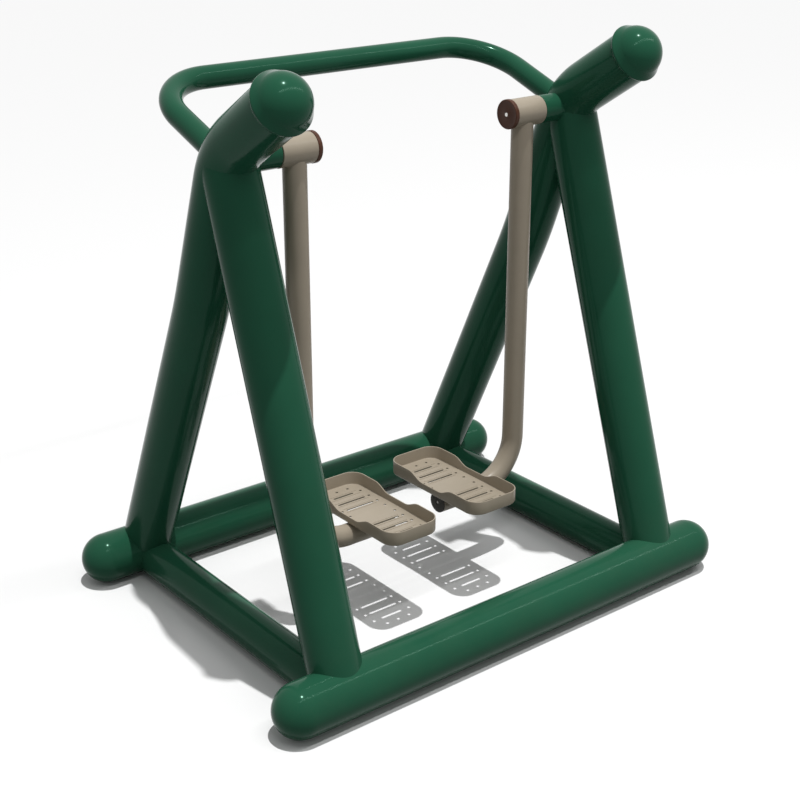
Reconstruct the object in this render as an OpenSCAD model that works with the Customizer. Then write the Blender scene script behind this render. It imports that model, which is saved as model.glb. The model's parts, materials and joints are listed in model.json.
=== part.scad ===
// Outdoor air walker: a tubular steel stand with two hanging arms that carry footplates.
// The origin is on the ground at the centre of the base. X runs across, Y from front to rear, Z up.

/* [Base] */
// Outer diameter of the main frame tubes
main_d = 140; // [120:1:160]
// Wall of the main frame tubes
main_wall = 4; // [3:0.5:6]
// Length of each base tube between the centres of its round ends
base_len = 1344; // [1290:1:1500]
// Distance between the axes of the front and rear base tubes
base_depth = 960; // [920:1:1040]
// Outer diameter of the two cross tubes
cross_d = 108; // [90:1:120]
// Wall of the two cross tubes
cross_wall = 3.5; // [3:0.5:5]
// Wall of the domed end caps
cap_wall = 4; // [3:0.5:6]
// Depth of the caps' spigots in their tubes
spigot_len = 30; // [20:1:50]
// Distance across between the ground anchor holes
anchor_gap = 900; // [800:1:960]
// Diameter of the ground anchor bosses
anchor_boss_d = 30; // [26:1:36]
// Height of the ground anchor bosses
anchor_boss_h = 26; // [20:1:34]
// Diameter of the tapped hole in each anchor boss
anchor_hole_d = 10.2; // [8.5:0.1:14]

/* [Side frames] */
// Outer diameter of the leg tubes, just under the base tubes' so that their cut ends seat on them
leg_d = 139; // [116:1:139]
// Wall of the leg tubes
leg_wall = 4; // [3:0.5:6]
// Distance between the centre planes of the two side frames
frame_gap = 1093; // [1060:1:1140]
// How far the front leg's axis stands inward of the base tube's axis at the foot
front_foot_inset = 18.6; // [10:0.1:24]
// Lean of the rear leg's lower stretch from upright, in degrees
low_lean = 25.28; // [24:0.01:27]
// Lean of the rear leg's upper stretch from upright, in degrees
high_lean = 20.35; // [19:0.01:22]
// Lean of the forward stub from upright, in degrees
stub_lean = 57.6; // [50:0.1:62]
// Length of the rear leg's lower straight stretch
low_len = 852; // [800:1:900]
// Radius of the rear leg's slow bend
low_bend_r = 1600; // [1200:10:2200]
// Length of the rear leg's upper straight stretch
mid_len = 288; // [240:1:330]
// Radius of the bend at the top of the rear leg
top_bend_r = 225; // [200:1:260]
// Length of the forward stub from the bend to the cap's rim
stub_len = 182; // [170:1:230]

/* [Post caps] */
// Outer diameter of the post cap's swollen collar
collar_d = 154; // [151:1:158]
// Diameter of the ball that the post cap's dome is part of
post_dome_d = 140; // [139:1:146]
// Length of the post cap from its rim to its tip
post_cap_len = 82; // [80:1:86]

/* [Handrail] */
// Outer diameter of the handrail
rail_d = 59; // [50:1:64]
// Wall of the handrail
rail_wall = 3; // [2.5:0.5:4]
// Length of the handrail's sides from the legs' axis to the bar's axis
rail_reach = 385.7; // [350:1:430]
// Slope of the handrail's sides, in degrees
rail_slope = 19.8; // [15:0.1:25]
// Radius of the handrail's corner bends
rail_bend_r = 163; // [140:1:180]
// How far the handrail's sides pass below the leg joint
rail_drop = 7.2; // [2:0.1:10]

/* [Pivots] */
// How far the pivot axis lies forward of the leg joint
pivot_forward = 5.4; // [0:0.1:10]
// How far the pivot axis lies above the leg joint
pivot_rise = 2; // [0:0.1:8]
// Outer diameter of the swinging hubs
hub_d = 76; // [74:1:84]
// Length of the swinging hubs
hub_len = 99; // [96:1:120]
// Distance between the inner ends of the two hubs
hub_gap = 642; // [620:1:650]
// Diameter of the fixed bosses on the legs
boss_d = 74; // [70:1:76]
// Running gap between each hub and its boss
hub_end_gap = 2; // [1:0.5:4]
// Diameter of the axles
axle_d = 30; // [28:1:32]
// Outer diameter of the ball bearings
bearing_d = 62; // [60:1:64]
// Width of the ball bearings
bearing_w = 16; // [14:1:18]
// Number of balls in each bearing
ball_count = 9; // [7:1:9]
// Thickness of the brown hub caps
hub_cap_w = 12; // [8:0.5:14]
// Diameter of the brown hub caps
hub_cap_d = 78.6; // [77:0.1:84]
// Diameter of the round plug in each hub cap
plug_d = 10.6; // [8:0.1:14]

/* [Arms] */
// Outer diameter of the arm tubes
arm_d = 60; // [50:1:64]
// Wall of the arm tubes
arm_wall = 3.5; // [3:0.5:5]
// Distance between the axes of the two hanging arms
arm_gap = 734; // [710:1:750]
// Radius of the arm's lower bend
arm_bend_r = 137; // [120:1:150]
// Height of the axis of the arm's level foot above the ground
arm_foot_z = 224; // [215:1:260]
// Distance between the closed ends of the two arms
arm_end_gap = 172; // [160:1:190]
// Thickness of the arm's end disc
arm_end_w = 3; // [2:0.5:5]

/* [Footplates] */
// Distance between the centres of the two footplates
plate_gap = 286; // [276:0.1:292]
// Width of each footplate
plate_w = 170; // [160:1:176]
// Length of each footplate
plate_len = 385; // [360:1:400]
// Height of each footplate's wall at the toe and heel, from the underside
plate_h = 40; // [32:0.5:46]
// Height of each footplate's wall at the middle of its sides, from the underside
plate_dip_h = 21; // [12:0.5:26]
// Thickness of each footplate's floor
plate_floor = 3; // [2.5:0.5:5]
// Thickness of each footplate's wall
plate_wall = 3; // [2.5:0.5:5]
// Corner radius of each footplate
plate_corner_r = 42; // [36:1:50]
// Thickness of the bracket between arm and footplate
bracket_t = 4; // [3:0.5:6]
// Length of the bracket along the arm
bracket_len = 92; // [80:1:100]
// Width of the bracket's top plate
bracket_w = 84; // [76:1:90]
// Width of the drain slots
slot_w = 7; // [4:0.1:9]
// Length of the four inner drain slots
slot_len = 91; // [80:1:96]
// Length of the two outer drain slots
end_slot_len = 67; // [60:1:76]
// Diameter of the drain holes
hole_d = 8; // [5:0.5:10]
// Distance of the rows of holes from the footplate's centreline
hole_row = 59.5; // [56:0.5:62]
// Height of the tread ribs on the floor
rib_h = 0.8; // [0.5:0.1:1.5]
// Width of the tread ribs
rib_w = 2.4; // [1.5:0.1:3]

/* [Hidden] */
$fn = 64;
// Overrun of every cut
over = 1;
// How much thinner a straight stretch is than the bends it runs into
bend_step = 0.25;
// How far a straight stretch runs into a bend
bend_lap = 4;
// Gap between a spigot and its tube
spigot_gap = 0.2;
// Running gap between the seal and the axle's shoulder
seal_gap = 0.3;
// Gap between the balls and their grooves
ball_gap = 0.05;
green = [0.13, 0.36, 0.25];
tan_grey = [0.62, 0.57, 0.5];
steel = [0.7, 0.7, 0.72];
brown = [0.24, 0.16, 0.14];
black = [0.08, 0.08, 0.08];

main_r = main_d / 2;
bore_r = main_r - main_wall;
leg_r = leg_d / 2;
leg_bore_r = leg_r - leg_wall;
cross_r = cross_d / 2;
rail_r = rail_d / 2;
arm_r = arm_d / 2;
hub_r = hub_d / 2;
axle_r = axle_d / 2;
base_y = base_depth / 2;
frame_x = frame_gap / 2;

// Points and turns of the rear leg in the side plane, as [y, z]
foot = [base_y, main_r];
low_end = foot + low_len * [-sin(low_lean), cos(low_lean)];
low_centre = low_end + low_bend_r * [cos(low_lean), sin(low_lean)];
mid_start = low_centre - low_bend_r * [cos(high_lean), sin(high_lean)];
mid_end = mid_start + mid_len * [-sin(high_lean), cos(high_lean)];
top_centre = mid_end - top_bend_r * [cos(high_lean), sin(high_lean)];
stub_start = top_centre + top_bend_r * [cos(stub_lean), sin(stub_lean)];
// Share of the top bend at which the front leg's axis meets the rear leg's
joint_share = 0.3914;
joint_turn = high_lean + joint_share * (stub_lean - high_lean);
joint = top_centre + top_bend_r * [cos(joint_turn), sin(joint_turn)];
front_foot = [-base_y + front_foot_inset, main_r];
front_run = joint - front_foot;
front_len = norm(front_run);
front_turn = atan2(front_run[1], front_run[0]);

pivot_y = joint[0] - pivot_forward;
pivot_z = joint[1] + pivot_rise;
hub_in_x = hub_gap / 2;
hub_out_x = hub_in_x + hub_len;
boss_x = hub_out_x + hub_end_gap;
arm_x = arm_gap / 2;
arm_end_x = arm_end_gap / 2;

// Width of the seal in the hub's mouth
seal_w = 8;
// Thickness of the washer under the nut
washer_w = 3;
// Thickness of the axle's nut
nut_w = 8;
// Depth of the hub cap's spigot
cap_spigot_len = 5;
// Room between the nut and the cap's spigot
nut_room = 1;
// Width across the nut's flats
nut_af = 30;
// Diameter of the axle's threaded end
thread_d = 20;
// Diameter of the axle's shoulder under the seal
shoulder_d = 40;
// Bore of the hub between its bearing seats
hub_mid_bore_d = 55;
// Wall of each bearing ring
ring_wall = 4.5;
// Radius of the bearing balls
ball_r = 4.76;
// Radius of the plug's stem
plug_stem_r = plug_d / 4;
// Height of the plug's domed head
plug_head_w = 1.5;

// Places of the pieces inside each hub, from the boss inward
seal_x = hub_out_x - seal_w;
outer_bearing_x = seal_x - bearing_w;
inner_bearing_x = hub_in_x + cap_spigot_len + nut_room + nut_w + washer_w;
bearing_mid_r = (bearing_d / 2 + axle_r) / 2;

plate_x = plate_gap / 2;
bracket_z = arm_foot_z + arm_r;
plate_z = bracket_z + bracket_t;
floor_z = plate_z + plate_floor;
// Places of the slots, holes and the side dip as shares of the footplate's length
slot_shares = [0.148, 0.248];
end_slot_share = 0.349;
hole_shares = [0.0566, 0.148, 0.249, 0.3505];
end_hole_share = 0.4286;
rib_shares = [0.123, 0.173, 0.223, 0.273, 0.324, 0.374];
dip_flat_share = 0.09;
dip_end_share = 0.25;
// Spacing of the end row of holes as a share of the footplate's width
end_hole_gap_share = 0.2176;
rib_len_share = 0.6;

// Mirrors the right-hand piece for the left side
module on_side(side) {
    if (side < 0) mirror([1, 0, 0]) children();
    else children();
}

// Turns a drawing in the side plane so that its x is Y, its y is Z and its z is X
module side_plane() {
    translate([frame_x, 0, 0]) rotate([90, 0, 90]) children();
}

// Straight rod in a drawing plane, from a point along a turn
module rod(start, turn, length, r) {
    translate([start[0], start[1], 0]) rotate([0, 90, turn]) cylinder(h = length, r = r);
}

// Bent rod in a drawing plane, round a centre from one turn to another
module bend(centre, bend_r, from, to, r) {
    translate([centre[0], centre[1], 0]) rotate([0, 0, from])
        rotate_extrude(angle = to - from) translate([bend_r, 0]) circle(r = r);
}

// Level rod along X from a starting x
module rod_x(x, length, r, y = 0, z = 0) {
    translate([x, y, z]) rotate([0, 90, 0]) cylinder(h = length, r = r);
}

// Rod on the pivot axis
module pivot_rod(x, length, r) {
    rod_x(x, length, r, pivot_y, pivot_z);
}

// Ring on the pivot axis
module pivot_ring(x, length, r, hole_r) {
    difference() {
        pivot_rod(x, length, r);
        pivot_rod(x - over, length + 2 * over, hole_r);
    }
}

module base_tube_solid(place_y, r) {
    rod_x(-base_len / 2, base_len, r, place_y, main_r);
}

module base_tube(place_y) {
    color(green) difference() {
        base_tube_solid(place_y, main_r);
        rod_x(-base_len / 2 - over, base_len + 2 * over, bore_r, place_y, main_r);
        for (x = [-anchor_gap / 2, anchor_gap / 2])
            translate([x, place_y, -over]) cylinder(h = main_r, d = anchor_boss_d);
    }
}

module front_base_tube() { base_tube(-base_y); }
module rear_base_tube() { base_tube(base_y); }

module cross_tube_solid() {
    translate([frame_x, -base_y, cross_r]) rotate([-90, 0, 0]) cylinder(h = base_depth, r = cross_r);
}

// Cross tube between the base tubes, standing on the ground
module cross_tube(side) {
    color(green) on_side(side) difference() {
        cross_tube_solid();
        translate([frame_x, -base_y - over, cross_r]) rotate([-90, 0, 0])
            cylinder(h = base_depth + 2 * over, r = cross_r - cross_wall);
        base_tube_solid(-base_y, main_r);
        base_tube_solid(base_y, main_r);
    }
}

// Round end cap: a hollow half ball with a spigot that sits inside the base tube
module base_cap(side, place_y) {
    spigot_r = bore_r - spigot_gap;
    hollow_r = spigot_r - cap_wall;
    color(green) on_side(side) translate([base_len / 2, place_y, main_r]) rotate([0, 90, 0])
        rotate_extrude() difference() {
            union() {
                intersection() {
                    circle(r = main_r);
                    square([main_r, main_r]);
                }
                translate([0, -spigot_len]) square([spigot_r, spigot_len]);
            }
            circle(r = hollow_r);
            translate([0, -spigot_len - over]) square([hollow_r, spigot_len + over]);
            translate([-main_d, -main_d]) square([main_d, 2 * main_d]);
        }
}

// Bar steel bosses let into the underside of the base tubes, each with a tapped hole
module ground_anchor_bosses() {
    color(steel) for (x = [-anchor_gap / 2, anchor_gap / 2], y = [-base_y, base_y])
        translate([x, y, 0]) difference() {
            cylinder(h = anchor_boss_h, d = anchor_boss_d);
            translate([0, 0, -over]) cylinder(h = anchor_boss_h + 2 * over, d = anchor_hole_d);
        }
}

// Straight stretch that laps into the bend at either end, or both
module lapped_rod(start, turn, length, r, lap_before, lap_after) {
    back = lap_before * [cos(turn), sin(turn)];
    rod(start - back, turn, length + lap_before + lap_after, r - bend_step);
}

// Run of the rear leg in the side plane, with its stub made longer by an extra length
module rear_leg_run(r, extra = 0) {
    lapped_rod(foot, 90 + low_lean, low_len, r, 0, bend_lap);
    bend(low_centre, low_bend_r, 180 + high_lean, 180 + low_lean, r);
    lapped_rod(mid_start, 90 + high_lean, mid_len, r, bend_lap, bend_lap);
    bend(top_centre, top_bend_r, high_lean, stub_lean, r);
    lapped_rod(stub_start, 90 + stub_lean, stub_len, r, bend_lap, extra);
}

module rear_leg(side) {
    color(green) on_side(side) difference() {
        side_plane() difference() {
            rear_leg_run(leg_r);
            rear_leg_run(leg_bore_r, over);
        }
        base_tube_solid(base_y, main_r);
        cross_tube_solid();
    }
}

// Run of the front leg in the side plane, made longer by an extra length
module front_leg_run(r, extra = 0) {
    rod(front_foot, front_turn, front_len + extra, r - bend_step);
}

module front_leg(side) {
    color(green) on_side(side) difference() {
        side_plane() difference() {
            front_leg_run(leg_r);
            front_leg_run(leg_bore_r, over);
            rear_leg_run(leg_r);
        }
        base_tube_solid(-base_y, main_r);
        cross_tube_solid();
    }
}

// Post cap, with its rim at zero: a bead, a swollen collar and a dome, with a spigot in the stub
module post_cap(side) {
    spigot_r = leg_bore_r - bend_step - spigot_gap;
    hollow_r = spigot_r - cap_wall;
    collar_r = collar_d / 2;
    bead_r = 3 / 4 * leg_wall;
    swell_r = collar_r - leg_r;
    swell_z = 7 / 4 * bead_r + swell_r;
    dome_r = post_dome_d / 2;
    dome_base = post_cap_len - dome_r;
    color(green) on_side(side) side_plane()
        translate([stub_start[0], stub_start[1], 0]) rotate([0, 0, stub_lean]) translate([0, stub_len, 0])
            rotate([-90, 0, 0]) rotate_extrude() difference() {
                union() {
                    translate([leg_r, bead_r]) circle(r = bead_r);
                    translate([leg_r, swell_z]) circle(r = swell_r);
                    square([leg_r, swell_z]);
                    translate([0, dome_base]) intersection() {
                        circle(r = dome_r);
                        translate([0, swell_r - dome_base]) square([dome_r, post_cap_len]);
                    }
                    translate([0, -spigot_len]) square([spigot_r, spigot_len + bead_r]);
                }
                intersection() {
                    translate([0, dome_base]) circle(r = dome_r - cap_wall);
                    translate([0, -spigot_len - over]) square([hollow_r, spigot_len + over + post_cap_len]);
                }
                translate([0, -spigot_len - over]) square([hollow_r, spigot_len + over]);
                translate([-main_d, -main_d]) square([main_d, 3 * main_d]);
            }
}

// Run of the handrail, drawn in its own sloping plane
module rail_run(r, extra) {
    straight = rail_reach - rail_bend_r;
    for (side = [-1, 1]) {
        translate([side * frame_x, -extra, 0]) rotate([-90, 0, 0]) cylinder(h = straight + extra, r = r);
        translate([side * (frame_x - rail_bend_r), straight, 0]) rotate([0, 0, side > 0 ? 0 : 90])
            rotate_extrude(angle = 90) translate([rail_bend_r, 0]) circle(r = r);
    }
    rod_x(rail_bend_r - frame_x, 2 * (frame_x - rail_bend_r), r, rail_reach, 0);
}

module handrail() {
    color(green) difference() {
        translate([0, joint[0], joint[1] - rail_drop]) rotate([rail_slope, 0, 0]) difference() {
            rail_run(rail_r, 0);
            rail_run(rail_r - rail_wall, over);
        }
        for (side = [-1, 1]) on_side(side) side_plane() rear_leg_run(leg_r);
    }
}

// Fixed boss that joins the leg to the axle
module pivot_boss(side) {
    color(green) on_side(side) difference() {
        pivot_ring(boss_x, frame_x - boss_x, boss_d / 2, axle_r);
        leg_cut();
    }
}

module leg_cut() {
    side_plane() {
        rear_leg_run(leg_r);
        front_leg_run(leg_r);
    }
}

module axle(side) {
    thread_x = hub_in_x + cap_spigot_len + nut_room;
    color(steel) on_side(side) difference() {
        union() {
            pivot_rod(inner_bearing_x, frame_x - inner_bearing_x, axle_r);
            pivot_rod(seal_x, boss_x - seal_x, shoulder_d / 2);
            pivot_rod(thread_x, inner_bearing_x - thread_x, thread_d / 2);
        }
        leg_cut();
    }
}

// Groove of one bearing, as the path of its balls
module ball_path(x) {
    translate([x + bearing_w / 2, pivot_y, pivot_z]) rotate([0, 90, 0])
        rotate_extrude() translate([bearing_mid_r, 0]) circle(r = ball_r + ball_gap);
}

module bearing_inner_rings(side) {
    color(steel) on_side(side) for (x = [inner_bearing_x, outer_bearing_x]) difference() {
        pivot_ring(x, bearing_w, axle_r + ring_wall, axle_r);
        ball_path(x);
    }
}

module bearing_outer_rings(side) {
    color(steel) on_side(side) for (x = [inner_bearing_x, outer_bearing_x]) difference() {
        pivot_ring(x, bearing_w, bearing_d / 2, bearing_d / 2 - ring_wall);
        ball_path(x);
    }
}

module bearing_balls(side) {
    color(steel) on_side(side) for (x = [inner_bearing_x, outer_bearing_x], i = [0:ball_count - 1])
        translate([x + bearing_w / 2, pivot_y, pivot_z]) rotate([i * 360 / ball_count, 0, 0])
            translate([0, bearing_mid_r, 0]) sphere(r = ball_r);
}

module ring_spacer(side) {
    start = inner_bearing_x + bearing_w;
    color(steel) on_side(side) pivot_ring(start, outer_bearing_x - start, axle_r + ring_wall, axle_r);
}

module axle_washer(side) {
    color(steel) on_side(side)
        pivot_ring(inner_bearing_x - washer_w, washer_w, axle_r + ring_wall / 2, thread_d / 2);
}

module axle_nut(side) {
    start = inner_bearing_x - washer_w - nut_w;
    color(steel) on_side(side) difference() {
        translate([start, pivot_y, pivot_z]) rotate([0, 90, 0])
            cylinder(h = nut_w, r = nut_af / 2 / cos(30), $fn = 6);
        pivot_rod(start - over, nut_w + 2 * over, thread_d / 2);
    }
}

// Rubber ring in the hub's mouth that keeps rain off the bearings
module hub_seal(side) {
    color(black) on_side(side)
        pivot_ring(seal_x, seal_w, bearing_d / 2, shoulder_d / 2 + seal_gap);
}

// Swinging hub with a seat for a bearing at each end
module hub(side) {
    seat_in = inner_bearing_x + bearing_w;
    color(tan_grey) on_side(side) difference() {
        pivot_rod(hub_in_x, hub_len, hub_r);
        pivot_rod(hub_in_x - over, seat_in - hub_in_x + over, bearing_d / 2);
        pivot_rod(hub_in_x - over, hub_len + 2 * over, hub_mid_bore_d / 2);
        pivot_rod(outer_bearing_x, hub_out_x - outer_bearing_x + over, bearing_d / 2);
    }
}

// Push-in cap with a rounded rim
module hub_cap(side) {
    rim_r = hub_cap_w / 4;
    cap_r = hub_cap_d / 2;
    spigot_r = bearing_d / 2 - spigot_gap;
    color(brown) on_side(side) translate([hub_in_x, pivot_y, pivot_z]) rotate([0, -90, 0])
        rotate_extrude() difference() {
            union() {
                square([cap_r - rim_r, hub_cap_w]);
                square([cap_r, hub_cap_w - rim_r]);
                translate([cap_r - rim_r, hub_cap_w - rim_r]) circle(r = rim_r);
                translate([spigot_r - cap_wall, -cap_spigot_len]) square([cap_wall, cap_spigot_len + rim_r]);
            }
            translate([-cap_r, -cap_r]) square([cap_r + plug_stem_r, 2 * cap_r]);
        }
}

// Bright round plug in the middle of the hub cap
module cap_plug(side) {
    dome_r = plug_d;
    color([0.85, 0.84, 0.83]) on_side(side)
        translate([hub_in_x - hub_cap_w, pivot_y, pivot_z]) rotate([0, -90, 0]) {
            intersection() {
                cylinder(h = plug_head_w, d = plug_d);
                translate([0, 0, plug_head_w - dome_r]) sphere(r = dome_r);
            }
            translate([0, 0, -hub_cap_w]) cylinder(h = hub_cap_w, r = plug_stem_r);
        }
}

// Run of an arm: down from the pivot, round the bend and level inward
module arm_run(r, end_x) {
    bend_x = arm_x - arm_bend_r;
    bend_z = arm_foot_z + arm_bend_r;
    translate([arm_x, pivot_y, bend_z]) cylinder(h = pivot_z - bend_z, r = r);
    translate([bend_x, pivot_y, bend_z]) rotate([90, 0, 0]) rotate([0, 0, -90])
        rotate_extrude(angle = 90) translate([arm_bend_r, 0]) circle(r = r);
    rod_x(end_x, bend_x - end_x, r, pivot_y, arm_foot_z);
}

module arm_tube(side) {
    color(tan_grey) on_side(side) difference() {
        arm_run(arm_r, arm_end_x + arm_end_w);
        arm_run(arm_r - arm_wall, arm_end_x + arm_end_w - over);
        pivot_rod(hub_in_x, hub_len, hub_r);
    }
}

// Disc with a spigot that closes the arm's inner end
module arm_end_cap(side) {
    spigot_r = arm_r - arm_wall - spigot_gap;
    color(black) on_side(side) translate([arm_end_x, pivot_y, arm_foot_z]) rotate([0, 90, 0]) difference() {
        union() {
            cylinder(h = arm_end_w, r = arm_r);
            cylinder(h = arm_end_w + spigot_len / 2, r = spigot_r);
        }
        translate([0, 0, arm_end_w]) cylinder(h = spigot_len, r = spigot_r - arm_wall);
    }
}

// Channel over the arm's foot, with a top plate under the footplate
module footplate_bracket(side) {
    web_h = arm_r;
    color(tan_grey) on_side(side) translate([plate_x, pivot_y, 0]) difference() {
        union() {
            translate([-bracket_len / 2, -bracket_w / 2, bracket_z])
                cube([bracket_len, bracket_w, bracket_t]);
            translate([-bracket_len / 2, -arm_r - bracket_t, bracket_z - web_h])
                cube([bracket_len, 2 * (arm_r + bracket_t), web_h + bracket_t / 2]);
        }
        rod_x(-bracket_len, 2 * bracket_len, arm_r, 0, arm_foot_z);
        translate([-bracket_len, -arm_r, bracket_z - web_h - over])
            cube([2 * bracket_len, arm_d, over + web_h / 2]);
    }
}

// Rounded rectangle, centred
module pan_outline(width, length, corner_r) {
    square([width - 2 * corner_r, length], center = true);
    square([width, length - 2 * corner_r], center = true);
    for (x = [-1, 1], y = [-1, 1])
        translate([x * (width / 2 - corner_r), y * (length / 2 - corner_r)]) circle(r = corner_r);
}

// Slot with round ends, along X
module slot_outline(length, width) {
    square([length - width, width], center = true);
    for (x = [-1, 1]) translate([x * (length - width) / 2, 0]) circle(d = width);
}

// Side view of what is cut off the long walls: flat in the middle, with a smooth ramp each way
module dip_outline() {
    flat = dip_flat_share * plate_len;
    end = dip_end_share * plate_len;
    steps = 10;
    ramp = [for (i = [0:steps])
        [flat + (end - flat) * i / steps, plate_dip_h + (plate_h - plate_dip_h) * (1 - cos(180 * i / steps)) / 2]];
    top = [end + over, plate_h + over];
    polygon(concat(
        [for (i = [steps:-1:0]) [-ramp[i][0], ramp[i][1]]],
        ramp,
        [top, [-top[0], top[1]]]));
}

module footplate(side) {
    color(tan_grey) on_side(side) translate([plate_x, pivot_y, plate_z]) difference() {
        union() {
            difference() {
                linear_extrude(height = plate_h) pan_outline(plate_w, plate_len, plate_corner_r);
                translate([0, 0, plate_floor]) linear_extrude(height = plate_h)
                    pan_outline(plate_w - 2 * plate_wall, plate_len - 2 * plate_wall,
                        plate_corner_r - plate_wall);
                translate([-plate_w, 0, 0]) rotate([90, 0, 90])
                    linear_extrude(height = 2 * plate_w) dip_outline();
            }
            translate([0, 0, plate_floor - rib_h]) linear_extrude(height = 2 * rib_h)
                for (share = rib_shares, way = [-1, 1])
                    translate([0, way * share * plate_len]) slot_outline(rib_len_share * plate_w, rib_w);
        }
        translate([0, 0, -over]) linear_extrude(height = plate_floor + 2 * rib_h + over) {
            for (share = slot_shares, way = [-1, 1])
                translate([0, way * share * plate_len]) slot_outline(slot_len, slot_w);
            for (way = [-1, 1]) {
                translate([0, way * end_slot_share * plate_len]) slot_outline(end_slot_len, slot_w);
                for (place = [-1, 0, 1])
                    translate([place * end_hole_gap_share * plate_w, way * end_hole_share * plate_len])
                        circle(d = hole_d);
                for (share = hole_shares, edge = [-1, 1])
                    translate([edge * hole_row, way * share * plate_len]) circle(d = hole_d);
            }
        }
    }
}

front_base_tube();
rear_base_tube();
cross_tube(-1);  // left_cross_tube
cross_tube(1);  // right_cross_tube
base_cap(-1, -base_y);  // front_left_base_cap
base_cap(1, -base_y);  // front_right_base_cap
base_cap(-1, base_y);  // rear_left_base_cap
base_cap(1, base_y);  // rear_right_base_cap
ground_anchor_bosses();
rear_leg(-1);  // left_rear_leg
rear_leg(1);  // right_rear_leg
front_leg(-1);  // left_front_leg
front_leg(1);  // right_front_leg
post_cap(-1);  // left_post_cap
post_cap(1);  // right_post_cap
handrail();
pivot_boss(-1);  // left_pivot_boss
pivot_boss(1);  // right_pivot_boss
axle(-1);  // left_axle
axle(1);  // right_axle
bearing_inner_rings(-1);  // left_bearing_inner_rings
bearing_inner_rings(1);  // right_bearing_inner_rings
bearing_balls(-1);  // left_bearing_balls
bearing_balls(1);  // right_bearing_balls
bearing_outer_rings(-1);  // left_bearing_outer_rings
bearing_outer_rings(1);  // right_bearing_outer_rings
ring_spacer(-1);  // left_ring_spacer
ring_spacer(1);  // right_ring_spacer
axle_washer(-1);  // left_axle_washer
axle_washer(1);  // right_axle_washer
axle_nut(-1);  // left_axle_nut
axle_nut(1);  // right_axle_nut
hub_seal(-1);  // left_hub_seal
hub_seal(1);  // right_hub_seal
hub(-1);  // left_hub
hub(1);  // right_hub
hub_cap(-1);  // left_hub_cap
hub_cap(1);  // right_hub_cap
cap_plug(-1);  // left_cap_plug
cap_plug(1);  // right_cap_plug
arm_tube(-1);  // left_arm_tube
arm_tube(1);  // right_arm_tube
arm_end_cap(-1);  // left_arm_end_cap
arm_end_cap(1);  // right_arm_end_cap
footplate_bracket(-1);  // left_footplate_bracket
footplate_bracket(1);  // right_footplate_bracket
footplate(-1);  // left_footplate
footplate(1);  // right_footplate
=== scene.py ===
# %% [markdown]
# An outdoor air walker: a green tubular stand, and two tan arms that hang from pivots and carry
# tray-shaped footplates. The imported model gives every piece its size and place. It could simply be
# painted, but its edges are knife-sharp, and a real tube end, cap or folded sheet never is. So the
# pieces that a close eye would catch are modelled again with softer edges, and all get a finish.

# %% Load the frame
import json
import math
import bpy
from mathutils import Matrix, Vector


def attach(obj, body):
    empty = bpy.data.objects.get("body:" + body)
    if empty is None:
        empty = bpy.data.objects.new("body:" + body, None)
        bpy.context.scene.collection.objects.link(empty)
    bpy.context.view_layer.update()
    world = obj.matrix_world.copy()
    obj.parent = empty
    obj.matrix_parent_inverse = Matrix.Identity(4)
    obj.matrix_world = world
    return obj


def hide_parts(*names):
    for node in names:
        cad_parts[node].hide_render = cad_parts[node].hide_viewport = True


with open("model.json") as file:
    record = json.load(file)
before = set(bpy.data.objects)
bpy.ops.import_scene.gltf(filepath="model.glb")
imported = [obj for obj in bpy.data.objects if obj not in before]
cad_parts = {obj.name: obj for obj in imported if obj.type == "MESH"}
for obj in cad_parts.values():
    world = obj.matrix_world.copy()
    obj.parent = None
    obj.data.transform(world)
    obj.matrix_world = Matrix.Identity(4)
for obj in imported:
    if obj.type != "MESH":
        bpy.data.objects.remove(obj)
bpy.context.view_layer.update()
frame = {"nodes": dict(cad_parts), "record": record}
nodes = frame["nodes"]
MM = 0.001
print("pieces in the frame:", len(nodes))

# %% [markdown]
# The camera stands to the left of and in front of the object, a little above the handrail, and
# looks down at the footplates. Its place, turn and lens were worked out from the edges of the
# tubes, because a straight tube shows the perspective better than any guess by eye.

# %% Camera
CAMERA_PLACE = (-2.2867, -2.9003, 2.0469)
CAMERA_TILT = 1.1823
CAMERA_TURN = -0.6691
CAMERA_LENS = 65.58
SENSOR_WIDTH = 36


def add_camera():
    data = bpy.data.cameras.new("camera")
    data.lens = CAMERA_LENS
    data.sensor_width = SENSOR_WIDTH
    camera = bpy.data.objects.new("camera", data)
    camera.location = CAMERA_PLACE
    camera.rotation_euler = (CAMERA_TILT, 0, CAMERA_TURN)
    bpy.context.scene.collection.objects.link(camera)
    bpy.context.scene.camera = camera


add_camera()
print("camera at", CAMERA_PLACE, "with a lens of", CAMERA_LENS, "mm")

# %% [markdown]
# Materials are built from nodes. Adding each node and link in full would bury the idea of a
# finish under its wiring, so these helpers add one node each and join it to the tree. Every
# material below then reads as a short list of what it is made of.

# %% Helpers for materials
COLOUR, NUMBER, ARROW = "NodeSocketColor", "NodeSocketFloat", "NodeSocketVector"


def new_group(name, inputs, outputs):
    group = bpy.data.node_groups.new(name, "ShaderNodeTree")
    for label, kind, value in inputs:
        socket = group.interface.new_socket(label, in_out="INPUT", socket_type=kind)
        socket.default_value = value
    for label, kind in outputs:
        group.interface.new_socket(label, in_out="OUTPUT", socket_type=kind)
    return group, group.nodes.new("NodeGroupInput"), group.nodes.new("NodeGroupOutput")


def join(tree, value, socket):
    if hasattr(value, "is_output"):
        tree.links.new(value, socket)
    else:
        socket.default_value = value


def add_noise(tree, vector, scale, detail=3.0, roughness=0.5):
    noise = tree.nodes.new("ShaderNodeTexNoise")
    join(tree, vector, noise.inputs["Vector"])
    join(tree, scale, noise.inputs["Scale"])
    noise.inputs["Detail"].default_value = detail
    noise.inputs["Roughness"].default_value = roughness
    return noise.outputs["Fac"]


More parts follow.
